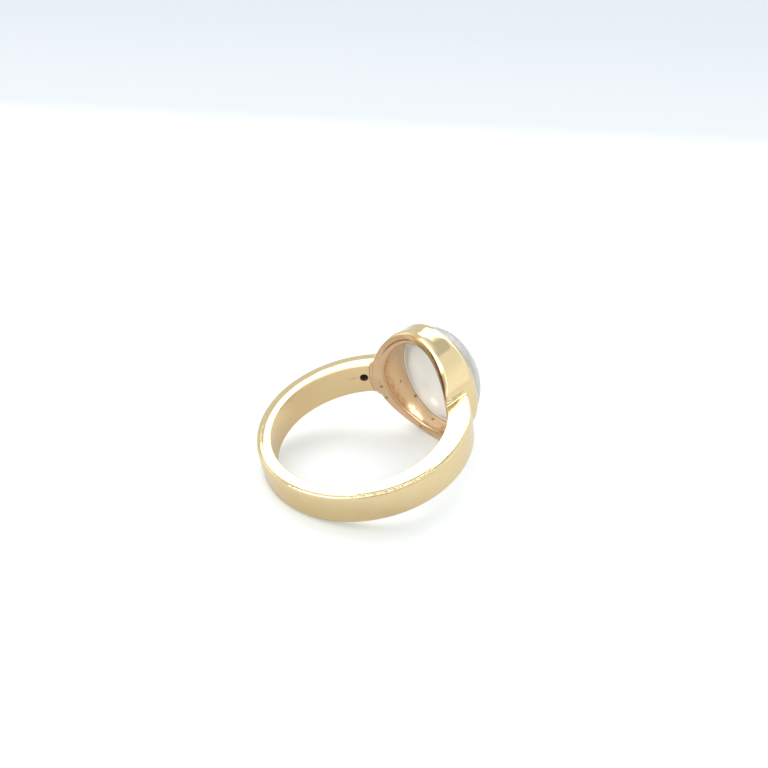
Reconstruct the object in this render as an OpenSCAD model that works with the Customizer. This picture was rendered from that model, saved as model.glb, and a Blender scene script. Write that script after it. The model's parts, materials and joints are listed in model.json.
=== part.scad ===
// Gold ring with an oval moonstone in an open-backed cup setting.
// The ring is drawn with its finger hole along Z and the stone facing +X,
// then laid down on its side: it rests on the back of the band and on the lowest corner of the cup.

/* [Finger hole] */
// Inside diameter of the ring
finger_d = 17.3; // [15:0.1:21]
// Chamfer where the hole meets each side face
hole_chamfer = 0.12; // [0.05:0.01:0.2]

/* [Band] */
// Width of the band along the finger
band_w = 3.5; // [3:0.1:4.5]
// Thickness of the metal at the back of the band, opposite the stone
back_t = 1.4; // [1.2:0.05:1.8]
// Thickness that the outer circle would reach under the stone
front_t = 2.5; // [2.2:0.05:2.55]
// Rounding of the band's outer edges
band_edge_r = 0.45; // [0.3:0.05:0.6]

/* [Setting] */
// Length of the oval cup along the finger
cup_l = 13.1; // [13:0.1:13.8]
// Width of the oval cup across the finger
cup_w = 11; // [10.9:0.1:11.4]
// Height of the lip above the top of the finger hole
cup_h = 2.55; // [2.5:0.05:2.8]
// Length of the opening under the ledge that carries the stone
opening_l = 10.9; // [10.6:0.1:11.2]
// Width of the opening under the ledge
opening_w = 8.9; // [8.7:0.1:9.2]
// Rounding of the lip's outer edge
lip_r = 0.25; // [0.15:0.05:0.3]
// Depth by which the back of the cup stays clear of the finger beside the band
base_relief = 0.2; // [0.2:0.01:0.3]

/* [Moonstone] */
// Length of the stone along the finger
stone_l = 11.8; // [11.5:0.1:12]
// Width of the stone across the finger
stone_w = 9.9; // [9.6:0.1:10]
// Height of the stone from its flat back to the top of its dome
stone_h = 4.1; // [3.6:0.1:4.6]
// Height of the straight girdle under the dome
girdle_h = 0.5; // [0.3:0.05:0.6]
// Depth of the stone's flat back below the lip
seat_depth = 0.8; // [0.75:0.05:1.1]
// Gap between the stone and the metal round it
stone_gap = 0.05; // [0.03:0.01:0.08]

/* [Drill mark] */
// Diameter of the small blind hole inside one shoulder
drill_d = 0.9; // [0.5:0.1:1.2]
// Depth of the blind hole
drill_depth = 1.2; // [0.6:0.1:1.4]
// Angle of the blind hole from the stone's axis
drill_angle = 46; // [45:1:60]

/* [Hidden] */
$fn = 96;

gold = [0.86, 0.7, 0.36];
milky = [0.9, 0.92, 0.93];

hole_r = finger_d / 2;
half_w = band_w / 2;

// The outer circle of the band is larger than the hole and set forward, so the metal grows towards the stone
band_r = hole_r + (back_t + front_t) / 2;
band_shift = (front_t - back_t) / 2;

// Stations along the stone's axis, from the centre of the finger hole
lip_x = hole_r + cup_h;
seat_x = lip_x - seat_depth;
cup_start_x = hole_r / 2;
dome_h = stone_h - girdle_h;

// Cutters reach this far past the faces that they cut
reach = 1;

// The two places that touch the floor, in the plane of symmetry: the centre of the rounding at the
// back of the band, and the corner where the cup's wall meets the cut for the finger
back_rest = [band_shift - (band_r - band_edge_r), -(half_w - band_edge_r)];
cup_rest = [hole_r + base_relief, -cup_l / 2];
rest_span = cup_rest - back_rest;
lay_angle = atan2(-rest_span[1], rest_span[0]) - asin(band_edge_r / norm(rest_span));
lift = band_edge_r - sin(lay_angle) * back_rest[0] - cos(lay_angle) * back_rest[1];

// The laid ring's furthest points along X: the upper edge at the back, and the dome of the stone
back_end = cos(lay_angle) * back_rest[0] + sin(lay_angle) * back_rest[1] - band_edge_r;
dome_x = seat_x + girdle_h;
dome_end = cos(lay_angle) * dome_x + norm([dome_h * cos(lay_angle), stone_l / 2 * sin(lay_angle)]);
middle_x = (back_end + dome_end) / 2;

// Lays the ring on its side, with the origin under the middle of its bounding box
module laid_down() {
    translate([-middle_x, 0, lift]) rotate([0, -lay_angle, 0]) children();
}

// Turns a lathed shape's axis from Z to X and narrows it across the finger
module oval(length, width) {
    scale([1, width / length, 1]) rotate([0, 90, 0]) children();
}

// Half of the band's section, outside edges rounded, from the axis outwards
module band_section() {
    union() {
        translate([0, -(half_w - band_edge_r)]) square([band_r, band_w - 2 * band_edge_r]);
        translate([0, -half_w]) square([band_r - band_edge_r, band_w]);
        for (side = [-1, 1])
            translate([band_r - band_edge_r, side * (half_w - band_edge_r)]) circle(r = band_edge_r);
    }
}

// Disc of the band, with the chamfers of the finger hole that is cut later
module band_blank() {
    difference() {
        translate([band_shift, 0, 0]) rotate_extrude() band_section();
        for (side = [0, 1])
            mirror([0, 0, side])
                translate([0, 0, half_w - hole_chamfer])
                    cylinder(r1 = hole_r, r2 = hole_r + 2 * hole_chamfer, h = 2 * hole_chamfer);
    }
}

// Outside of the cup, with a rounded lip and its back hollowed for the finger
module cup_blank() {
    half_l = cup_l / 2;
    difference() {
        oval(cup_l, cup_w) rotate_extrude() union() {
            translate([0, cup_start_x]) square([half_l, lip_x - lip_r - cup_start_x]);
            translate([0, cup_start_x]) square([half_l - lip_r, lip_x - cup_start_x]);
            translate([half_l - lip_r, lip_x - lip_r]) circle(r = lip_r);
        }
        finger_cylinder(hole_r + base_relief);
    }
}

// True cylinder along the finger, longer than the cup
module finger_cylinder(radius) {
    cylinder(r = radius, h = cup_l + 2 * reach, center = true);
}

// Opening through the back of the cup, up to the ledge under the stone
module cup_opening() {
    oval(opening_l, opening_w)
        translate([0, 0, cup_start_x - reach])
            cylinder(d = opening_l, h = seat_x + 2 * stone_gap - cup_start_x + reach);
}

// Pocket over the ledge: straight round the girdle, then closing in over the dome to hold the stone.
// The lip takes two gaps, because the dome bulges past the straight line of the pocket's wall
module stone_seat() {
    girdle_r = stone_l / 2 + stone_gap;
    lip_inner_r = stone_l / 2 * sqrt(1 - pow((lip_x - dome_x) / dome_h, 2)) + 2 * stone_gap;
    slope = (girdle_r - lip_inner_r) / (lip_x - dome_x);
    oval(girdle_r, stone_w / 2 + stone_gap) rotate_extrude() polygon([
        [0, seat_x - stone_gap],
        [girdle_r, seat_x - stone_gap],
        [girdle_r, dome_x],
        [girdle_r - slope * (lip_x + reach - dome_x), lip_x + reach],
        [0, lip_x + reach],
    ]);
}

// Small blind hole inside the shoulder on the +Y side
module drill_mark() {
    rotate([0, 0, drill_angle])
        translate([hole_r - reach, 0, 0])
            rotate([0, 90, 0])
                cylinder(d = drill_d, h = drill_depth + reach, $fn = 32);
}

// Band, shoulders and cup, soldered into one piece
module gold_mount() {
    color(gold) laid_down() difference() {
        union() {
            band_blank();
            cup_blank();
        }
        finger_cylinder(hole_r);
        cup_opening();
        stone_seat();
        drill_mark();
    }
}

// Oval cabochon: a flat back, a straight girdle and half of an ellipsoid
module moonstone() {
    half_l = stone_l / 2;
    color(milky) laid_down() {
        translate([seat_x, 0, 0]) oval(stone_l, stone_w) cylinder(d = stone_l, h = girdle_h);
        translate([dome_x, 0, 0]) scale([dome_h / half_l, stone_w / stone_l, 1]) intersection() {
            sphere(r = half_l);
            translate([0, -half_l, -half_l]) cube(stone_l);
        }
    }
}

gold_mount();
moonstone();
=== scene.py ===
import json
from math import atan2, cos, pi, radians, sin, sqrt

import bpy
from mathutils import Matrix, Vector


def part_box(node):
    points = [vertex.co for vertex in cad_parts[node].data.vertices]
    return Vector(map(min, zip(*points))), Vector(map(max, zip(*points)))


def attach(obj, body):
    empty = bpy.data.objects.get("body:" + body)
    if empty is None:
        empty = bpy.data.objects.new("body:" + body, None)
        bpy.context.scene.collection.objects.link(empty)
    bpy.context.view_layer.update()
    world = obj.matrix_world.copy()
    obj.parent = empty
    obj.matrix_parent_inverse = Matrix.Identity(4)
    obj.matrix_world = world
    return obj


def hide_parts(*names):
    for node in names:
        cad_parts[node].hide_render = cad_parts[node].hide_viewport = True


# Gold ring with an oval moonstone in an open-backed cup. Each piece is modelled in millimetres with
# the finger hole along Z and the stone facing +X, then laid on its side where the frame has the hole.
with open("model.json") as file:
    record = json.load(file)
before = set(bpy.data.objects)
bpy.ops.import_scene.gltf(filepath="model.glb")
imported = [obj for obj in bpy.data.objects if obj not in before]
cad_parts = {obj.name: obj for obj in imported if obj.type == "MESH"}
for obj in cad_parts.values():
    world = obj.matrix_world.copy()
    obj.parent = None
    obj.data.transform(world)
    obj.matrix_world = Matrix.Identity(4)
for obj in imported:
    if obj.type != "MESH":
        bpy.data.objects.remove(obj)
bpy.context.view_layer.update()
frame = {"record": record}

MM = 0.001
finger_bore = frame["record"]["mounts"][0]
bore_centre = Vector(finger_bore["pos_m"])
lay_angle = atan2(-finger_bore["axis"][0], finger_bore["axis"][2])
LAID = Matrix.Translation(bore_centre) @ Matrix.Rotation(-lay_angle, 4, "Y") @ Matrix.Scale(MM, 4)

# Band, in millimetres. Its outer circle is set towards the stone, so the metal thickens into the shoulders
hole_r = finger_bore["dims"]["r_mm"]
half_w = 1.75
rim_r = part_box("gold_mount")[1].y / MM
rim_shift = 0.55
band_sides = 960

# Roundings of the band's edges, and how far its faces bulge
hole_edge_r = 0.13
hole_edge_steps = 5
rim_edge_in = 0.55
rim_edge_down = 0.4
rim_edge_steps = 9
side_crown = 0.04
far_crown = 0.05
rim_crown = 0.035

# Solder runs this far out from the cup, on the drilled side and on the other. A fill of 1 is the full height
solder_r = 0.42
fine_solder_r = 0.26
solder_fill = 0.8

# Cup: half length along the finger, half width across it, and stations along the stone's axis
cup_half = (6.55, 5.5)
opening_half = (5.45, 4.45)
lip_x = 11.3
lip_in = 0.6
lip_down = 0.85
lip_steps = 14
lip_edge_x = lip_x - 0.03
lip_tip_x = lip_x - 0.12
lip_gap = 0.01
seat_gap = 0.03
ledge_x = 10.37
ledge_chamfer = 0.06
outer_stations = (9.5, 9.75, 10)
inner_stations = (10.1, 9.7, 9.3)
cup_sides = 320

# Base of the cup, which follows the finger. It is first drawn flat, at raw_base_x
base_r = hole_r + 0.015
base_edge = 0.62
base_edge_profile = 0.34
opening_edge_r = 0.12
base_flare = 0.2
flare_height = 1.6
flare_towards = (0.6, 0.8)
raw_base_x = 6.0
finger_sides = 720
finger_length = 16

# Moonstone
stone_half = (5.78, 4.9)
stone_back_x = 10.4
stone_bevel = 0.1
girdle_x = 10.9
dome_h = 3.58
dome_steps = 36
stone_sides = 192

# Drill mark inside one shoulder
drill_r = 0.45
drill_depth = 1.2
drill_tip = 0.27
drill_angle = radians(45)
drill_z = 0.2
drill_sides = 48

# Points closer together than merge_gap are merged. Closed ends are drawn as ovals as tiny as pole
merge_gap = 0.0005
pole = 0.0001


# Modelling helpers

def lone_object():
    """Leaves edit mode and deselects everything before a new piece is drawn."""
    if bpy.context.object and bpy.context.object.mode != "OBJECT":
        bpy.ops.object.mode_set(mode="OBJECT")
    bpy.ops.object.select_all(action="DESELECT")


def pick(piece):
    """Makes one piece the selected and active object."""
    lone_object()
    piece.select_set(True)
    bpy.context.view_layer.objects.active = piece


def raise_wall(name, sides, levels):
    """Extrudes an oval from level to level.

    A level is the oval's middle on X, its height, and its half sizes on X and Y.
    """
    lone_object()
    bpy.ops.mesh.primitive_circle_add(vertices=sides, radius=1)
    wall = bpy.context.object
    wall.name = wall.data.name = name
    bpy.ops.object.mode_set(mode="EDIT")
    bpy.ops.mesh.select_all(action="SELECT")
    x, z, a, b = levels[0]
    bpy.ops.transform.resize(value=(a, b, 1), center_override=(0, 0, 0))
    bpy.ops.transform.translate(value=(x, 0, z))
    for (x0, z0, a0, b0), (x1, z1, a1, b1) in zip(levels, levels[1:]):
        bpy.ops.mesh.extrude_region_move(TRANSFORM_OT_translate={"value": (x1 - x0, 0, z1 - z0)})
        bpy.ops.transform.resize(value=(a1 / a0, b1 / b0, 1), center_override=(x1, 0, z1))
    bpy.ops.mesh.select_all(action="SELECT")
    bpy.ops.mesh.remove_doubles(threshold=merge_gap)
    bpy.ops.mesh.normals_make_consistent(inside=False)
    bpy.ops.object.mode_set(mode="OBJECT")
    return wall


def face_stone(piece):
    """Turns an upright piece so that its height runs along the stone's axis."""
    piece.data.transform(Matrix.Rotation(pi / 2, 4, "Y"))
    return piece


def round_steps(steps):
    """Sine and cosine along a quarter turn, first step left out."""
    return [(sin(pi / 2 * i / steps), cos(pi / 2 * i / steps)) for i in range(1, steps + 1)]


def soft_share(value, start, end):
    """Smooth 0 to 1 as a number goes from start to end."""
    share = min(1, max(0, (value - start) / (end - start)))
    return share * share * (3 - 2 * share)


def boolean(piece, tool, operation):
    """Applies a boolean and deletes the tool."""
    pick(piece)
    cut = piece.modifiers.new(operation.lower(), "BOOLEAN")
    cut.object = tool
    cut.operation = operation
    cut.solver = "MANIFOLD"
    bpy.ops.object.modifier_apply(modifier=cut.name)
    bpy.data.objects.remove(tool)


def lay_down(piece, smooth_angle):
    """Shades a finished piece and lays it on its side, with its place in its mesh."""
    pick(piece)
    bpy.ops.object.shade_smooth_by_angle(angle=smooth_angle)
    piece.data.transform(LAID)
    piece.data.update()
    return piece


# Band

def band_section():
    """Half of the band's section, from the middle of the hole's wall over the side face to the rim.

    Each point is how far out it lies between the two circles, 0 to 1, its distance from the nearer
    circle and its height.
    """
    half = [(0, 0, z) for z in (0, 0.55, 1.1, half_w - hole_edge_r)]
    for s, c in round_steps(hole_edge_steps):
        half.append((0, hole_edge_r * (1 - c), half_w - hole_edge_r * (1 - s)))
    side_steps = 10
    for i in range(1, side_steps):
        share = i / side_steps
        half.append((share, None, half_w - side_crown * max(0, (share - 0.5) * 2) ** 2))
    top = half_w - side_crown
    half.append((1, rim_edge_in, top))
    for s, c in round_steps(rim_edge_steps):
        half.append((1, rim_edge_in * (1 - s), top - rim_edge_down * (1 - c)))
    straight = top - rim_edge_down
    for z in (0.75, 0.5, 0.25, 0):
        half.append((1, -rim_crown * (1 - z * z), straight * z))
    return half


def band_level(point):
    """Circle of the band for one point of its section."""
    share, depth, z = point
    inner, outer = hole_r + hole_edge_r, rim_r - rim_crown - rim_edge_in
    if share == 0:
        radius = hole_r + depth
    elif share == 1:
        radius = rim_r - rim_crown - depth
    else:
        radius = inner + (outer - inner) * share
    return (rim_shift * share, z, radius, radius)


def make_band():
    """Band as a whole ring, with its front arc then cut away inside the cup's wall."""
    half = band_section()
    lower = [(share, depth, -z) for share, depth, z in reversed(half[1:-1])]
    levels = [band_level(point) for point in half + lower + half[:1]]
    band = raise_wall("band", band_sides, levels)
    boolean(band, make_plug(), "DIFFERENCE")
    soften_far_side(band)
    run_solder(band)
    return band


def make_plug():
    """Closed oval block, a little inside the cup's outer wall, that reaches past the band's front arc."""
    inset, low, high = 0.06, 3, 13
    half = (cup_half[0] - inset, cup_half[1] - inset)
    levels = [(0, low, pole, pole), (0, low, *half), (0, high, *half), (0, high, pole, pole)]
    return face_stone(raise_wall("plug", cup_sides, levels))


def soften_far_side(band):
    """Polishes the side faces lower towards the rim, on the drilled side of the band only."""
    flat_share = 0.3
    inner = hole_r + hole_edge_r
    for vertex in band.data.vertices:
        point = vertex.co
        reach = sqrt(point.x ** 2 + point.y ** 2)
        outer = reach / sqrt((point.x - rim_shift) ** 2 + point.y ** 2) * (rim_r - rim_edge_in)
        share = max(0, (reach - inner) / (outer - inner) - flat_share) / (1 - flat_share)
        on_drilled_side = soft_share(point.y, 4, 8)
        near_face = soft_share(abs(point.z), 1.2, 1.65)
        drop = far_crown * min(1, share) ** 2 * on_drilled_side * near_face
        point.z -= drop if point.z > 0 else -drop
    band.data.update()


def cup_gap(point):
    """Distance from a point beside the cup to the cup's oval wall, in the plane across the stone's axis."""
    share = sqrt((point.z / cup_half[0]) ** 2 + (point.y / cup_half[1]) ** 2)
    return sqrt(point.z ** 2 + point.y ** 2) * (1 - 1 / share)


def run_solder(band):
    """Raises the skin of the band in a hollow curve where it runs into the cup, more on the drilled side."""
    band.data.update()
    for vertex in band.data.vertices:
        point, normal = vertex.co, vertex.normal
        radius = solder_r if point.y > 0 else fine_solder_r
        gap = max(0, cup_gap(point)) if point.x > 0 else radius
        if gap >= radius:
            continue
        rise = solder_fill * radius * (1 - gap / radius) ** 2
        outward = Vector((point.x - rim_shift, point.y, 0)).normalized()
        vertex.co = point + Vector((0, 0, normal.z * rise)) + outward * max(0, normal.dot(outward)) * rise
    band.data.update()


# Cup

def cup_levels():
    """Levels of the cup's wall: up the outside, over the lip, down the opening and back along the base."""
    length, width = cup_half
    rim_start = lip_x - lip_down
    levels = [(0, x, length, width) for x in (raw_base_x, *outer_stations, rim_start)]
    for s, c in round_steps(lip_steps):
        levels.append((0, rim_start + lip_down * s, length - lip_in * (1 - c), width - lip_in * (1 - c)))

    # The lip's inner edge comes close to the dome, and below it the seat goes straight down round the girdle
    girdle = (stone_half[0] + seat_gap, stone_half[1] + seat_gap)
    dome_at_lip = sqrt(1 - ((lip_tip_x - girdle_x) / dome_h) ** 2)
    levels.append((0, lip_edge_x, girdle[0] + 2 * lip_gap, girdle[1] + 2 * lip_gap))
    levels.append((0, lip_tip_x, girdle[0] * dome_at_lip + lip_gap, girdle[1] * dome_at_lip + lip_gap))
    levels.append((0, girdle_x, *girdle))
    levels.append((0, ledge_x, *girdle))
    levels.append((0, ledge_x, opening_half[0] + ledge_chamfer, opening_half[1] + ledge_chamfer))
    for x in (ledge_x - ledge_chamfer, *inner_stations, raw_base_x):
        levels.append((0, x, *opening_half))

    base_steps = 6
    for i in range(1, base_steps):
        share = i / base_steps
        levels.append((0, raw_base_x, opening_half[0] + (length - opening_half[0]) * share,
                       opening_half[1] + (width - opening_half[1]) * share))
    levels.append(levels[0])
    return levels


def make_cup():
    """Oval cup whose base follows the finger, with its free outer edge rounded."""
    cup = face_stone(raise_wall("gold_mount_polished", cup_sides, cup_levels()))
    base = cup.vertex_groups.new(name="base")
    base.add([v.index for v in cup.data.vertices if v.co.x < raw_base_x + 1], 1, "REPLACE")
    lone_object()
    bpy.ops.mesh.primitive_cylinder_add(vertices=finger_sides, radius=base_r, depth=finger_length)
    finger = bpy.context.object
    pick(cup)
    wrap = cup.modifiers.new("finger", "SHRINKWRAP")
    wrap.target = finger
    wrap.wrap_method = "PROJECT"
    wrap.use_project_x = True
    wrap.use_negative_direction = True
    wrap.vertex_group = base.name
    bpy.ops.object.modifier_apply(modifier=wrap.name)
    bpy.data.objects.remove(finger)
    mark_base_edges(cup)
    bevel = cup.modifiers.new("edges", "BEVEL")
    bevel.limit_method = "WEIGHT"
    bevel.width = base_edge
    bevel.segments = 5
    bevel.profile = base_edge_profile
    bevel.use_clamp_overlap = False
    bpy.ops.object.modifier_apply(modifier=bevel.name)
    cup.vertex_groups.clear()
    flare_base(cup)
    return cup


def on_oval(point, half, slack=0.004):
    """True where a point of the cup lies on the wall of an oval with these half sizes."""
    return abs((point.z / half[0]) ** 2 + (point.y / half[1]) ** 2 - 1) < slack


def on_base(point, slack=0.005):
    """True where a point of the cup lies on its base."""
    return abs(sqrt(point.x * point.x + point.y * point.y) - base_r) <= slack


def mark_base_edges(cup):
    """Bevel weights: full on the base's free outer edge, none under the shoulders, little at the opening."""
    mesh = cup.data
    weights = mesh.attributes.new("bevel_weight_edge", "FLOAT", "EDGE").data
    shoulder_end, free_start = half_w + solder_r, half_w + solder_r + 1
    for edge in mesh.edges:
        ends = [mesh.vertices[i].co for i in edge.vertices]
        if not all(on_base(p) for p in ends):
            continue
        z = abs(ends[0].z + ends[1].z) / 2
        if all(on_oval(p, cup_half) for p in ends):
            weights[edge.index].value = soft_share(z, shoulder_end, free_start)
        elif all(on_oval(p, opening_half) for p in ends):
            weights[edge.index].value = opening_edge_r / base_edge


def flare_base(cup):
    """Spreads the outside of the base a little on the drilled side, as on the hand-finished ring."""
    wall_start, wall_end = 0.9, 0.97
    for vertex in cup.data.vertices:
        point = vertex.co
        across, along = point.y / cup_half[1], point.z / cup_half[0]
        height = point.x - sqrt(base_r ** 2 - point.y ** 2)
        share = sqrt(across ** 2 + along ** 2)
        if share < wall_start or height > flare_height:
            continue
        turn = soft_share((flare_towards[0] * across + flare_towards[1] * along) / share, 0.5, 1)
        fade = 1 - soft_share(height, 0, flare_height)
        spread = base_flare * turn * fade * soft_share(share, wall_start, wall_end)
        point.y += spread * across / share
        point.z += spread * along / share
    cup.data.update()


def make_drill():
    """Drill with a pointed tip, in its place in the shoulder."""
    start, end = hole_r - 1, hole_r + drill_depth
    drill = face_stone(raise_wall("drill", drill_sides, [
        (0, start, pole, pole),
        (0, start, drill_r, drill_r),
        (0, end, drill_r, drill_r),
        (0, end + drill_tip, pole, pole),
    ]))
    drill.data.transform(Matrix.Translation((0, 0, drill_z)) @ Matrix.Rotation(drill_angle, 4, "Z"))
    return drill


def make_mount():
    """Band and cup fused into one piece of soldered gold, with the drill mark in its shoulder."""
    mount = make_cup()
    boolean(mount, make_band(), "UNION")
    boolean(mount, make_drill(), "DIFFERENCE")
    return mount


# Moonstone

def make_stone():
    """Oval cabochon: flat back with a fine bevel, short girdle and a smooth dome."""
    length, width = stone_half
    levels = [(0, stone_back_x, length * share, width * share) for share in (pole, 0.2, 0.4, 0.6, 0.8, 0.9)]
    levels.append((0, stone_back_x, length - stone_bevel, width - stone_bevel))
    for x in (stone_back_x + stone_bevel, (stone_back_x + girdle_x) / 2, girdle_x):
        levels.append((0, x, length, width))
    for s, c in round_steps(dome_steps)[:-1]:
        levels.append((0, girdle_x + dome_h * s, length * c, width * c))
    levels.append((0, girdle_x + dome_h, length * pole, width * pole))
    return face_stone(raise_wall("moonstone_cabochon", stone_sides, levels))


# Wiring of materials

class Wiring:
    """Nodes and links of one material, node group or world, with short ways to add and join nodes.

    A value is a number, a triple, a colour, or a socket of another node.
    """

    def __init__(self, tree):
        self.nodes, self.links = tree.nodes, tree.links

    def feed(self, socket, value):
        """Sets a socket to a value, or links it to another node's socket."""
        if isinstance(value, (int, float, tuple)):
            socket.default_value = value
        else:
            self.links.new(value, socket)

    def feed_named(self, node, values):
        """Feeds a node's inputs by name, with an underscore for each space."""
        for name, value in values.items():
            self.feed(node.inputs[name.replace("_", " ")], value)

    def node(self, kind, **values):
        """Adds a node and feeds its inputs."""
        node = self.nodes.new(kind)
        self.feed_named(node, values)
        return node

    def group(self, group, **values):
        """Adds a node group and feeds its inputs."""
        node = self.node("ShaderNodeGroup")
        node.node_tree = group
        self.feed_named(node, values)
        return node.outputs[0]

    def operate(self, kind, operation, values):
        """Adds a node that works out an operation, and feeds its inputs in order."""
        node = self.node(kind)
        node.operation = operation
        for socket, value in zip(node.inputs, values):
            self.feed(socket, value)
        return node.outputs

    def math(self, operation, *values):
        """Math on numbers."""
        return self.operate("ShaderNodeMath", operation, values)[0]

    def vector_math(self, operation, *values):
        """Math on vectors. A length and a dot product are numbers."""
        outputs = self.operate("ShaderNodeVectorMath", operation, values)
        return outputs["Value" if operation in ("LENGTH", "DOT_PRODUCT") else "Vector"]

    def chain(self, operation, values):
        """Joins values one after the other."""
        result = values[0]
        for value in values[1:]:
            result = self.math(operation, result, value)
        return result

    def total(self, *values):
        """Sum of all values."""
        return self.chain("ADD", values)

    def product(self, *values):
        """All values multiplied together."""
        return self.chain("MULTIPLY", values)

    def strongest(self, *values):
        """The largest of several masks."""
        return self.chain("MAXIMUM", values)

    def split(self, vector):
        """X, Y and Z of a vector."""
        return self.node("ShaderNodeSeparateXYZ", Vector=vector).outputs

    def step(self, value, start, end):
        """Smooth 0 to 1 as a value goes from start to end."""
        node = self.node("ShaderNodeMapRange")
        node.interpolation_type = "SMOOTHSTEP"
        self.feed_named(node, {"Value": value, "From Min": start, "From Max": end})
        return node.outputs[0]

    def mix(self, share, first, second):
        """Mixes two colours by a share."""
        node = self.node("ShaderNodeMix")
        node.data_type = "RGBA"
        for name, colour in (("A", first), ("B", second)):
            self.feed(node.inputs[name], (*colour, 1) if isinstance(colour, tuple) else colour)
        self.feed(node.inputs["Factor"], share)
        return node.outputs["Result"]

    def tint(self, operation, value, levels):
        """Colour made from one value and three levels for red, green and blue."""
        node = self.node("ShaderNodeCombineColor")
        for socket, level in zip(node.inputs, levels):
            self.feed(socket, self.math(operation, value, level))
        return node.outputs[0]


def new_material(name):
    """Material with a Principled shader.

    Returns it with its wiring, its shader and the ring's own millimetre coordinates.
    """
    material = bpy.data.materials.new(name)
    material.use_nodes = True
    material.node_tree.nodes.clear()
    wire = Wiring(material.node_tree)
    shader = wire.node("ShaderNodeBsdfPrincipled")
    wire.node("ShaderNodeOutputMaterial", Surface=shader.outputs["BSDF"])
    own = wire.node("ShaderNodeMapping")
    own.vector_type = "TEXTURE"
    wire.feed_named(own, {
        "Vector": wire.node("ShaderNodeTexCoord").outputs["Object"],
        "Location": tuple(bore_centre),
        "Rotation": (0, -lay_angle, 0),
        "Scale": (MM, MM, MM),
    })
    return material, wire, shader, own.outputs["Vector"]


NUMBER = "NodeSocketFloat"
VECTOR = "NodeSocketVector"


def node_group(name, output, **inputs):
    """Shader node group with named sockets.

    Returns it with its wiring, its inputs and the socket that takes its result.
    """
    group = bpy.data.node_groups.new(name, "ShaderNodeTree")
    for label, kind in inputs.items():
        group.interface.new_socket(name=label.replace("_", " "), in_out="INPUT", socket_type=kind)
    group.interface.new_socket(name=output, in_out="OUTPUT", socket_type=NUMBER)
    entry = group.nodes.new("NodeGroupInput").outputs
    return group, Wiring(group), entry, group.nodes.new("NodeGroupOutput").inputs[output]


def finger_reach(wire, x, y):
    """Distance from the finger's axis."""
    return wire.vector_math("LENGTH", wire.node("ShaderNodeCombineXYZ", X=x, Y=y).outputs[0])


def oval_share(wire, y, z, half):
    """Where a point lies in an oval across the stone's axis: 0 in the middle, 1 on the oval's wall."""
    square_y = wire.math("POWER", wire.math("DIVIDE", y, half[1]), 2)
    square_z = wire.math("POWER", wire.math("DIVIDE", z, half[0]), 2)
    return wire.math("ADD", square_y, square_z)


def spot_group():
    """Mask of one soft spot: 1 inside its core, 0 outside its size."""
    group, wire, entry, result = node_group(
        "soft_spot", "Mask", Position=VECTOR, Centre=VECTOR, Size=VECTOR, Core=NUMBER)
    offset = wire.vector_math("SUBTRACT", entry["Position"], entry["Centre"])
    away = wire.vector_math("LENGTH", wire.vector_math("DIVIDE", offset, entry["Size"]))
    fade = wire.node("ShaderNodeMapRange", Value=away, From_Min=entry["Core"], From_Max=1, To_Min=1, To_Max=0)
    fade.interpolation_type = "SMOOTHSTEP"
    wire.feed(result, fade.outputs[0])
    return group


def line_group():
    """Mask of a thin line where a value passes through a level."""
    group, wire, entry, result = node_group(
        "thin_line", "Mask", Value=NUMBER, Level=NUMBER, Half_Width=NUMBER)
    core = 0.2
    gap = wire.math("ABSOLUTE", wire.math("SUBTRACT", entry["Value"], entry["Level"]))
    wire.feed(result, wire.step(wire.math("DIVIDE", gap, entry["Half Width"]), 1, core))
    return group


def cloud_group():
    """Soft cloudy value from 0 to 1, for patches, waviness and inclusions."""
    group, wire, entry, result = node_group(
        "soft_clouds", "Value", Position=VECTOR, Scale=NUMBER, Detail=NUMBER)
    dark, light = 0.32, 0.68
    noise = wire.node(
        "ShaderNodeTexNoise", Vector=entry["Position"], Scale=entry["Scale"], Detail=entry["Detail"])
    wire.feed(result, wire.step(noise.outputs["Fac"], dark, light))
    return group


def scratch_group():
    """Fine hairlines that run round the finger: noise drawn out along the band."""
    group, wire, entry, result = node_group(
        "polish_lines", "Value", Position=VECTOR, Along=NUMBER, Across=NUMBER)
    x, y, z = wire.split(entry["Position"])
    drawn = wire.node(
        "ShaderNodeCombineXYZ",
        X=wire.math("MULTIPLY", wire.math("ARCTAN2", y, x), entry["Along"]),
        Y=wire.math("MULTIPLY", finger_reach(wire, x, y), entry["Across"]),
        Z=wire.math("MULTIPLY", z, entry["Across"]))
    noise = wire.node("ShaderNodeTexNoise", Vector=drawn.outputs[0], Scale=1, Detail=3)
    wire.feed(result, noise.outputs["Fac"])
    return group


soft_spot = spot_group()
thin_line = line_group()
soft_clouds = cloud_group()
polish_lines = scratch_group()


def spot(wire, own, centre, size, core):
    """Soft spot at a place on the ring. A size is one radius, or one for each axis."""
    if not isinstance(size, tuple):
        size = (size, size, size)
    return wire.group(soft_spot, Position=own, Centre=centre, Size=size, Core=core)


def line(wire, value, level, half_width):
    """Thin line where a value passes through a level."""
    return wire.group(thin_line, Value=value, Level=level, Half_Width=half_width)


def clouds(wire, own, scale, detail):
    """Soft clouds over the ring."""
    return wire.group(soft_clouds, Position=own, Scale=scale, Detail=detail)


def hairlines(wire, own, along, across):
    """Fine lines round the band."""
    return wire.group(polish_lines, Position=own, Along=along, Across=across)


# Gold

polished_gold = (0.82, 0.67, 0.39)
warm_gold = (0.80, 0.63, 0.34)
satin_gold_lightened = (0.90, 0.71, 0.41)
rose_cast_and_bounce = (0.84, 0.62, 0.39)
copper_blush = (0.80, 0.54, 0.33)
shadow_brown = (0.5, 0.34, 0.22)
seam_and_shade_brown = (0.36, 0.23, 0.12)
base_shade_brown = (0.3, 0.2, 0.13)
bead_highlight_yellow = (1.0, 0.95, 0.78)
pit_brown = (0.10, 0.05, 0.03)

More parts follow.
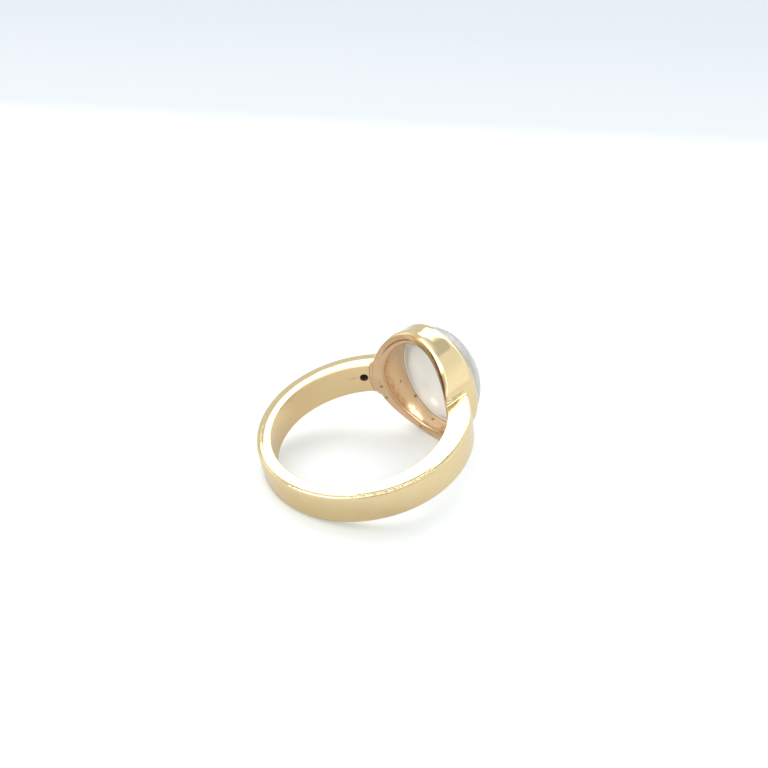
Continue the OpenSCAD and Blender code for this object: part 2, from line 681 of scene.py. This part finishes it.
# How strongly the second colours and the marks show
warm_strength = 0.5
blush_strength = 0.55
inner_shadow_strength = 0.25
seam_strength = 0.55
streak_strength = 0.3
opening_shade_strength = 0.55
opening_side_shade = 0.8
low_edge_shade = 0.85
pit_strength = 0.85
bubble_hole_strength = 0.7

# Roughness of the polish, with what its patches and the satin finger side add, and of the other finishes
polish_rough = 0.06
patch_rough = 0.03
satin_rough = 0.18
cast_rough = 0.27
dark_rough = 0.4
base_shade_rough = 0.35
bubble_rough = 0.5
pit_rough = 0.6
drill_rough = 0.8

# How far the inside of the drill mark loses its metal shine, and the width of the base's polished edge
drill_dullness = 0.8
polished_edge_w = 0.155

# Heights of the fine relief, in millimetres
wave_height = 0.012
hairline_height = 0.003
nick_height = 0.24
nick_share_all_round = 0.12
grain_height = 0.01
pit_depth = 0.05

# Pits and stains of the casting: place in the ring's own millimetres, radius, and how dark it is
cast_pits = [
    ((9.3, 4.26, -1.58), 0.19, 0.7),
    ((10.1, 3.27, -3.7), 0.25, 1.0),
    ((7.17, 4.86, -1.1), 0.3, 0.8),
    ((7.1, 4.97, -0.55), 0.2, 0.4),
    ((7.34, 4.6, -2.62), 0.32, 0.65),
    ((8.56, 1.33, -5.87), 0.24, 0.8),
    ((9.79, 0.64, -5.39), 0.24, 0.7),
    ((9.2, -1.26, -5.25), 0.45, 0.5),
]
# Small solder bead on the near shoulder, drawn as a painted highlight ring round a dark centre
solder_bubble = (7.5, -5.27, 1.9)
bubble_r = 0.26
bubble_hole_r = 0.13


class GoldPlace:
    """Where a point of the gold lies. The steps in the masks below go from one such place to another.

    x, y and z are the ring's own millimetres, and reach is the distance from the finger's axis. oval and
    opening are places in the ovals of the cup and of its opening, 1 on their walls. cup_side is 1 on the
    cup's side of the hole, on_wall on the hole's wall, and by_seam on that wall beside the drilled shoulder.
    """

    def __init__(self, wire, own):
        self.own = own
        self.x, self.y, self.z = wire.split(own)
        self.reach = finger_reach(wire, self.x, self.y)
        self.oval = oval_share(wire, self.y, self.z, cup_half)
        self.opening = oval_share(wire, self.y, self.z, opening_half)
        self.cup_side = wire.step(self.x, 3, 4)
        self.on_wall = wire.step(self.reach, hole_r + 0.06, hole_r + 0.02)
        self.by_seam = wire.product(self.on_wall, wire.step(self.y, 4.6, 5), self.cup_side)


def cast_mask(wire, at):
    """Cast finish: the inside of the cup, its base, and the finger's wall as far as the solder seam.

    The rounded edge of the base is polished on the side without the drill mark.
    """
    polished_edge = wire.product(wire.step(at.y, 1.8, 0.2), polished_edge_w)
    in_oval = wire.step(wire.math("ADD", at.oval, polished_edge), 0.985, 0.95)
    in_cup = wire.product(in_oval, at.cup_side, wire.step(at.x, 10.6, 10.4))
    return wire.strongest(in_cup, wire.product(at.by_seam, wire.step(at.oval, 1.08, 1.05)))


def dark_line_mask(wire, at):
    """Solder seam, a painted shade line in the crease inside the base's rounded edge, streak by the drill
    mark, and a painted shade line on the opening's edge.
    """
    seam = wire.product(at.by_seam, line(wire, at.oval, 1.068, 0.026), seam_strength)
    crease_shade = wire.product(
        line(wire, at.oval, 0.822, 0.042), wire.step(at.reach, hole_r + 0.4, hole_r + 0.25),
        wire.step(at.z, 2.8, 4.3), wire.step(at.y, 0, 1.3))
    streak = spot(wire, at.own, (5.3, 6.85, 0.3), (0.8, 0.8, 0.22), 0.0)
    opening_shade_line = wire.product(
        line(wire, at.opening, 1.045, 0.045), wire.step(at.x, 9.4, 9.2), at.cup_side,
        wire.step(at.z, -1, -3))
    return wire.strongest(
        seam, crease_shade, wire.product(streak, streak_strength), wire.product(opening_shade_line, opening_shade_strength))


def base_shade_mask(wire, at):
    """Painted shade on the cup's base beside the plain shoulder: along the opening, and low on the rounded
    edge.
    """
    finger_x = wire.math("SQRT", wire.math("SUBTRACT", base_r ** 2, wire.math("POWER", at.y, 2)))
    above_base = wire.math("SUBTRACT", at.x, finger_x)
    low_base = wire.product(wire.step(above_base, 0.68, 0.6), wire.step(at.z, -2, 0), at.cup_side)
    by_opening = wire.product(low_base, wire.step(at.y, 0.6, -1), wire.step(at.oval, 0.93, 0.88))
    low_edge = wire.product(
        low_base, wire.step(at.y, -3.75, -4.1), wire.step(at.oval, 0.8, 0.84),
        wire.step(at.oval, 1.0, 0.985))
    return wire.strongest(wire.product(by_opening, opening_side_shade), wire.product(low_edge, low_edge_shade))


def pit_mask(wire, at):
    """Pits and stains of the casting."""
    return wire.strongest(*[
        wire.product(spot(wire, at.own, centre, radius, 0.1), darkness)
        for centre, radius, darkness in cast_pits])


def drill_mask(wire, at):
    """Inside of the drill mark."""
    across = wire.vector_math("DOT_PRODUCT", at.own, (-sin(drill_angle), cos(drill_angle), 0.0))
    up = wire.math("SUBTRACT", at.z, drill_z)
    gap = wire.math("SQRT", wire.math("ADD", wire.math("POWER", across, 2), wire.math("POWER", up, 2)))
    return wire.product(
        wire.step(gap, drill_r + 0.04, drill_r + 0.01), wire.step(at.reach, hole_r + 0.02, hole_r + 0.08),
        wire.step(at.reach, 10.4, 10.2), wire.step(at.y, 3, 4))


def gold_height(wire, at, cast, pits):
    """Long waves of hand polishing, hairlines round the band, nicks along its edges, cast grain and pits."""
    waves = wire.product(clouds(wire, at.own, 0.32, 1.0), wave_height)
    fine_lines = wire.product(hairlines(wire, at.own, 9.0, 7.0), hairline_height)
    upright = wire.math("ABSOLUTE", at.z)
    on_edge = wire.product(
        wire.step(upright, 1.42, 1.56), wire.step(upright, 1.72, 1.66), wire.step(at.reach, 9.1, 9.4))
    worn = spot(wire, at.own, (-3.8, -9.2, 1.6), (5.5, 5.5, 1.2), 0.4)
    nicks = wire.product(
        hairlines(wire, at.own, 34.0, 1.5), on_edge, wire.math("ADD", nick_share_all_round, worn),
        nick_height)
    grain = wire.product(clouds(wire, at.own, 2.2, 3.0), cast, grain_height)
    relief = wire.total(waves, fine_lines, nicks, grain)
    return wire.math("SUBTRACT", relief, wire.product(pits, pit_depth))


def gold_material():
    """Polished gold outside, satin on the finger's side painted lighter to stand in for light, and a warmer
    cast finish inside the cup whose rose tint is partly painted bounce light.
    """
    material, wire, shader, own = new_material("ring_gold")
    at = GoldPlace(wire, own)
    cast = cast_mask(wire, at)
    patches = clouds(wire, own, 0.9, 2.0)
    blush = clouds(wire, own, 0.55, 3.0)

    colour = wire.mix(wire.product(patches, warm_strength), polished_gold, warm_gold)
    # The finger's wall is satin, and its colour is painted lighter to stand in for light its reflections lack
    colour = wire.mix(at.on_wall, colour, satin_gold_lightened)
    # Inside the cup the rose tint is partly the cast finish and partly painted colour of light bouncing
    # between the gold walls
    cast_colour = wire.mix(wire.product(blush, blush_strength), rose_cast_and_bounce, copper_blush)
    inner_side = wire.product(wire.step(at.oval, 0.72, 0.695), wire.step(at.x, 8.6, 7.4))
    cast_colour = wire.mix(wire.product(inner_side, inner_shadow_strength), cast_colour, shadow_brown)
    colour = wire.mix(cast, colour, cast_colour)

    # Painted shade: the crease line and the opening's edge line are painted dark; the seam and the streak are
    # marks of the metal
    dark = dark_line_mask(wire, at)
    colour = wire.mix(dark, colour, seam_and_shade_brown)
    # Painted shade on the base beside the plain shoulder
    shaded_base = base_shade_mask(wire, at)
    colour = wire.mix(shaded_base, colour, base_shade_brown)
    # Painted highlight: a near-white ring on the small solder bead, round a dark centre
    bead_highlight = spot(wire, own, solder_bubble, bubble_r, 0.5)
    colour = wire.mix(bead_highlight, colour, bead_highlight_yellow)
    bubble_hole = spot(wire, own, solder_bubble, bubble_hole_r, 0.3)
    pits = pit_mask(wire, at)
    in_drill = drill_mask(wire, at)
    hollows = wire.strongest(
        wire.product(pits, pit_strength), in_drill, wire.product(bubble_hole, bubble_hole_strength))
    colour = wire.mix(hollows, colour, pit_brown)
    wire.feed(shader.inputs["Base Color"], colour)

    rough = wire.total(
        polish_rough, wire.product(patches, patch_rough), wire.product(at.on_wall, satin_rough))
    rough = wire.strongest(
        rough, wire.product(cast, cast_rough), wire.product(dark, dark_rough),
        wire.product(shaded_base, base_shade_rough), wire.product(bead_highlight, bubble_rough),
        wire.product(pits, pit_rough), wire.product(in_drill, drill_rough))
    wire.feed(shader.inputs["Roughness"], rough)
    wire.feed(shader.inputs["Metallic"], wire.math("SUBTRACT", 1, wire.product(in_drill, drill_dullness)))

    bump = wire.node("ShaderNodeBump", Strength=1, Distance=MM, Height=gold_height(wire, at, cast, pits))
    wire.feed(shader.inputs["Normal"], bump.outputs[0])
    return material


# Stone

milky_body = (0.76, 0.75, 0.70)
cloudy_body = (0.68, 0.68, 0.64)
pale_back = (0.9, 0.9, 0.86)
shaded_corner_grey = (0.62, 0.62, 0.5)
shaded_rim_grey = (0.42, 0.4, 0.33)
warm_glow = (1.0, 0.97, 0.88)

# How strongly its clouds and marks show, and how much painted glow stands in for light in the parts of its
# back
cloud_strength = 0.6
corner_strength = 0.5
rim_strength = 0.75
even_glow = 0.06
wide_glow = 0.06
bright_glow = 0.45
line_glow = 0.5
shade_glow = 0.05


def stone_material():
    """Milky, slightly see-through moonstone, polished. Its flat back is painted paler, with a painted glow
    where the dome gathers light.
    """
    material, wire, shader, own = new_material("milky_moonstone")
    x, y, z = wire.split(own)
    on_back = wire.step(x, 10.55, 10.45)
    body = wire.mix(wire.product(clouds(wire, own, 0.28, 3.0), cloud_strength), milky_body, cloudy_body)
    # The back is painted paler than the body, standing in for light that comes through the dome
    colour = wire.mix(on_back, body, pale_back)

    # Seen through the open back: painted shade as a grey rim beside the ledge and a grey upper corner, a
    # painted light line inside the rim, and soft painted bright areas
    edge = oval_share(wire, y, z, opening_half)
    lower = wire.step(z, 2.6, 1)
    rim = wire.product(on_back, wire.step(edge, 0.965, 0.985), lower, rim_strength)
    corner = spot(wire, own, (stone_back_x, 4.3, 1.6), (1.0, 1.0, 2.6), 0.1)
    colour = wire.mix(wire.product(corner, on_back, corner_strength), colour, shaded_corner_grey)
    colour = wire.mix(rim, colour, shaded_rim_grey)
    wire.feed(shader.inputs["Base Color"], colour)

    # Painted light: the glow of the back, brightest where the dome gathers light, with less in one painted
    # shade spot
    inner_line = wire.product(line(wire, edge, 0.93, 0.05), lower, line_glow)
    wide = spot(wire, own, (stone_back_x, 2.5, 0.6), (1.0, 1.5, 2.4), 0.0)
    bright = spot(wire, own, (stone_back_x, 0.62, -3.4), (1.0, 0.75, 0.75), 0.1)
    shade = spot(wire, own, (stone_back_x, 1.5, -1.7), (1.0, 1.2, 1.2), 0.0)
    glow = wire.total(
        even_glow, wire.product(wide, wide_glow), wire.product(bright, bright_glow), inner_line)
    glow = wire.math("SUBTRACT", glow, wire.product(shade, shade_glow))
    glow = wire.product(glow, on_back, wire.math("SUBTRACT", 1, rim))
    wire.feed(shader.inputs["Emission Color"], wire.tint("MULTIPLY", glow, warm_glow))

    wire.feed_named(shader, {
        "Emission Strength": 1,
        "Roughness": 0.45,
        "IOR": 1.52,
        "Transmission Weight": 0.75,
        "Subsurface Weight": 1,
        "Subsurface Radius": (1, 1, 1),
        "Subsurface Scale": 0.002,
        "Coat Weight": 1,
        "Coat Roughness": 0.03,
    })
    return material


# Camera: its direction is held in the ring's own frame, and the finger hole's middle in the photograph

view_azimuth = radians(36.71)
view_elevation = radians(38.65)
view_roll = radians(-11.21)
view_distance = 100.58 * MM
picture_px = 768
focal_px = 1028.4
hole_px = (361.24, 434.91)


def place_camera():
    """Camera at the photograph's angle to the ring. Returns the azimuth it looks in, clockwise from +Y."""
    side = Vector((cos(view_azimuth), -sin(view_azimuth), 0))
    level = cos(view_elevation)
    back = Vector((-sin(view_azimuth) * level, -cos(view_azimuth) * level, sin(view_elevation)))
    upward = back.cross(side)
    right = side * cos(view_roll) + upward * sin(view_roll)
    turn = Matrix.Rotation(-lay_angle, 3, "Y")
    right, back = turn @ right, turn @ back
    up = back.cross(right)
    middle = picture_px / 2
    aim = right * (middle - hole_px[0]) / focal_px + up * (hole_px[1] - middle) / focal_px + back
    data = bpy.data.cameras.new("view")
    data.sensor_width = 36
    data.lens = data.sensor_width * focal_px / picture_px
    data.clip_start, data.clip_end = 0.001, 10
    camera = bpy.data.objects.new("view", data)
    bpy.context.scene.collection.objects.link(camera)
    place = Matrix.Translation(bore_centre + aim * view_distance)
    camera.matrix_world = place @ Matrix((right, up, back)).transposed().to_4x4()
    bpy.context.scene.camera = camera
    return atan2(-back.x, -back.y)


# Light: a soft white surround made of boxes, placed by angle from the direction the camera looks in

ambient = (0.79, 0.81, 0.83)
plain_ground = (0.83, 0.89, 0.96, 1)

# Azimuth to the right of the view, half width, low edge, high edge and softness in degrees, then the
# light that the box adds, or takes away
soft_boxes = [
    (-6, 52, 40, 70, 3, 2.6),
    (33, 20, 14, 40, 5, 1.3),
    (100, 52, -12, 55, 2, 0.2),
    (96, 46, 57, 82, 3, -0.14),
    (104, 48, -22, 26, 10, 0.16),
    (180, 40, 15, 40, 3, 1.9),
    (-74, 12, 2, 30, 6, 0.45),
    (-123, 20, 9, 38, 3, 2.4),
    (-110, 30, 50, 72, 6, 0.4),
]


def soft_box_group():
    """Mask of one soft box on the surround, in radians."""
    group, wire, entry, result = node_group(
        "soft_box", "Mask", Direction=VECTOR, Azimuth=NUMBER, Half_Width=NUMBER, Low=NUMBER, High=NUMBER,
        Softness=NUMBER)
    turn = wire.node("ShaderNodeVectorRotate")
    turn.rotation_type = "Z_AXIS"
    wire.feed_named(turn, {"Vector": entry["Direction"], "Angle": entry["Azimuth"]})
    x, y, z = wire.split(turn.outputs[0])
    across = wire.math("ABSOLUTE", wire.math("ARCTAN2", x, y))
    height = wire.math("ARCSINE", z)
    soft = entry["Softness"]

    def past(value, edge):
        """0 before an edge and 1 past it."""
        return wire.step(value, wire.math("SUBTRACT", edge, soft), wire.math("ADD", edge, soft))

    beside = wire.math("SUBTRACT", 1, past(across, entry["Half Width"]))
    above = past(height, entry["Low"])
    below = wire.math("SUBTRACT", 1, past(height, entry["High"]))
    wire.feed(result, wire.product(above, below, beside))
    return group


def light_surround(view_turn):
    """World of soft boxes for light and reflections, behind a plain pale ground for the camera."""
    world = bpy.data.worlds.new("soft_surround")
    bpy.context.scene.world = world
    world.use_nodes = True
    world.node_tree.nodes.clear()
    wire = Wiring(world.node_tree)
    direction = wire.node("ShaderNodeTexCoord").outputs["Generated"]
    group = soft_box_group()
    light = 0.0
    for azimuth, width, low, high, soft, power in soft_boxes:
        # A box to the right of the view lies clockwise, and the rotation brings it to straight ahead on +Y
        mask = wire.group(
            group, Direction=direction, Azimuth=view_turn + radians(azimuth), Half_Width=radians(width),
            Low=radians(low), High=radians(high), Softness=radians(soft))
        light = wire.math("ADD", light, wire.math("MULTIPLY", mask, power))
    glow = wire.node("ShaderNodeBackground", Color=wire.tint("ADD", light, ambient))
    plain = wire.node("ShaderNodeBackground", Color=plain_ground)
    mix = wire.node("ShaderNodeMixShader")
    by_camera = wire.node("ShaderNodeLightPath").outputs["Is Camera Ray"]
    for socket, value in zip(mix.inputs, (by_camera, glow.outputs[0], plain.outputs[0])):
        wire.feed(socket, value)
    wire.node("ShaderNodeOutputWorld", Surface=mix.outputs[0])
    world.cycles.sampling_method = "MANUAL"
    world.cycles.sample_map_resolution = 1024
    bpy.context.scene.view_settings.view_transform = "Standard"


# Small lamp just behind the stone, in the ring's own millimetres
lamp_place = (10.08, 0.45, -2.12)
lamp_aim = (8.8, 2.1, -4.8)


def light_cup():
    """Lamp for the light that the dome gathers on the far wall of the cup."""
    start, end = LAID @ Vector(lamp_place), LAID @ Vector(lamp_aim)
    lamp = bpy.data.lights.new("gathered_light", "SPOT")
    lamp.energy = 1.2e-4
    lamp.color = warm_glow
    lamp.shadow_soft_size = 0.55 * MM
    lamp.spot_size = radians(50)
    lamp.spot_blend = 1
    holder = bpy.data.objects.new("gathered_light", lamp)
    bpy.context.scene.collection.objects.link(holder)
    turn = (end - start).to_track_quat("-Z", "Y").to_matrix().to_4x4()
    holder.matrix_world = Matrix.Translation(start) @ turn
    holder.visible_camera = False


# Floor, in metres, and its sweep. The camera sees the floor a little lighter than the gold does, so the
# shadows stay pale as in soft studio light

floor_reach = 2.0
sweep_start = 0.093
sweep_r = 0.12
sweep_steps = 24
sweep_turn = radians(50)
sweep_slant = radians(3)
floor_for_gold = (0.67, 0.67, 0.67)
floor_for_camera = (0.86, 0.9, 0.92)
sweep_low = (0.6, 0.62, 0.63)
sweep_high = (0.55, 0.585, 0.62)

# Heights over which the floor's colour turns into the sweep's, and the sweep's low colour into its high one
floor_fade = (0, 0.0035)
sweep_fade = (0.001, 0.018)


def make_floor(view_turn):
    """Plain pale floor that curves up into a low sweep well behind the ring."""
    lone_object()
    bpy.ops.mesh.primitive_plane_add(size=2)
    floor = bpy.context.object
    floor.name = floor.data.name = "floor"
    bpy.ops.object.mode_set(mode="EDIT")
    bpy.ops.mesh.select_all(action="SELECT")
    depth = (sweep_start + floor_reach) / 2
    bpy.ops.transform.resize(value=(floor_reach, depth, 1), center_override=(0, 0, 0))
    bpy.ops.transform.translate(value=(0, sweep_start - depth, 0))
    bpy.ops.mesh.select_all(action="DESELECT")
    bpy.ops.mesh.select_mode(type="EDGE")
    bpy.ops.object.mode_set(mode="OBJECT")
    for edge in floor.data.edges:
        edge.select = all(floor.data.vertices[i].co.y > 0 for i in edge.vertices)
    bpy.ops.object.mode_set(mode="EDIT")
    for i in range(sweep_steps):
        low, high = sweep_turn * i / sweep_steps, sweep_turn * (i + 1) / sweep_steps
        move = (0, sweep_r * (sin(high) - sin(low)), sweep_r * (cos(low) - cos(high)))
        bpy.ops.mesh.extrude_region_move(TRANSFORM_OT_translate={"value": move})
    bpy.ops.mesh.select_mode(type="VERT")
    bpy.ops.object.mode_set(mode="OBJECT")
    bpy.ops.object.shade_smooth()
    floor.data.transform(Matrix.Rotation(-view_turn - sweep_slant, 4, "Z"))
    floor.data.materials.append(floor_material())


def floor_material():
    """Matt pale floor that darkens a little up the sweep."""
    material = bpy.data.materials.new("pale_floor")
    material.use_nodes = True
    wire = Wiring(material.node_tree)
    shader = material.node_tree.nodes["Principled BSDF"]
    height = wire.split(wire.node("ShaderNodeTexCoord").outputs["Object"])["Z"]
    foot = wire.step(height, *floor_fade)
    rise = wire.step(height, *sweep_fade)
    by_camera = wire.node("ShaderNodeLightPath").outputs["Is Camera Ray"]
    near = wire.mix(by_camera, floor_for_gold, floor_for_camera)
    sweep = wire.mix(rise, sweep_low, sweep_high)
    wire.feed_named(shader, {
        "Base Color": wire.mix(foot, near, sweep),
        "Roughness": 0.8,
        "Specular IOR Level": 0.1,
    })
    return material


mount = lay_down(make_mount(), radians(30))
mount.data.materials.clear()
mount.data.materials.append(gold_material())
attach(mount, "root")
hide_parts("gold_mount")

stone = lay_down(make_stone(), radians(40))
stone.data.materials.clear()
stone.data.materials.append(stone_material())
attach(stone, "root")
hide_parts("moonstone")

view_turn = place_camera()
light_surround(view_turn)
light_cup()
make_floor(view_turn)
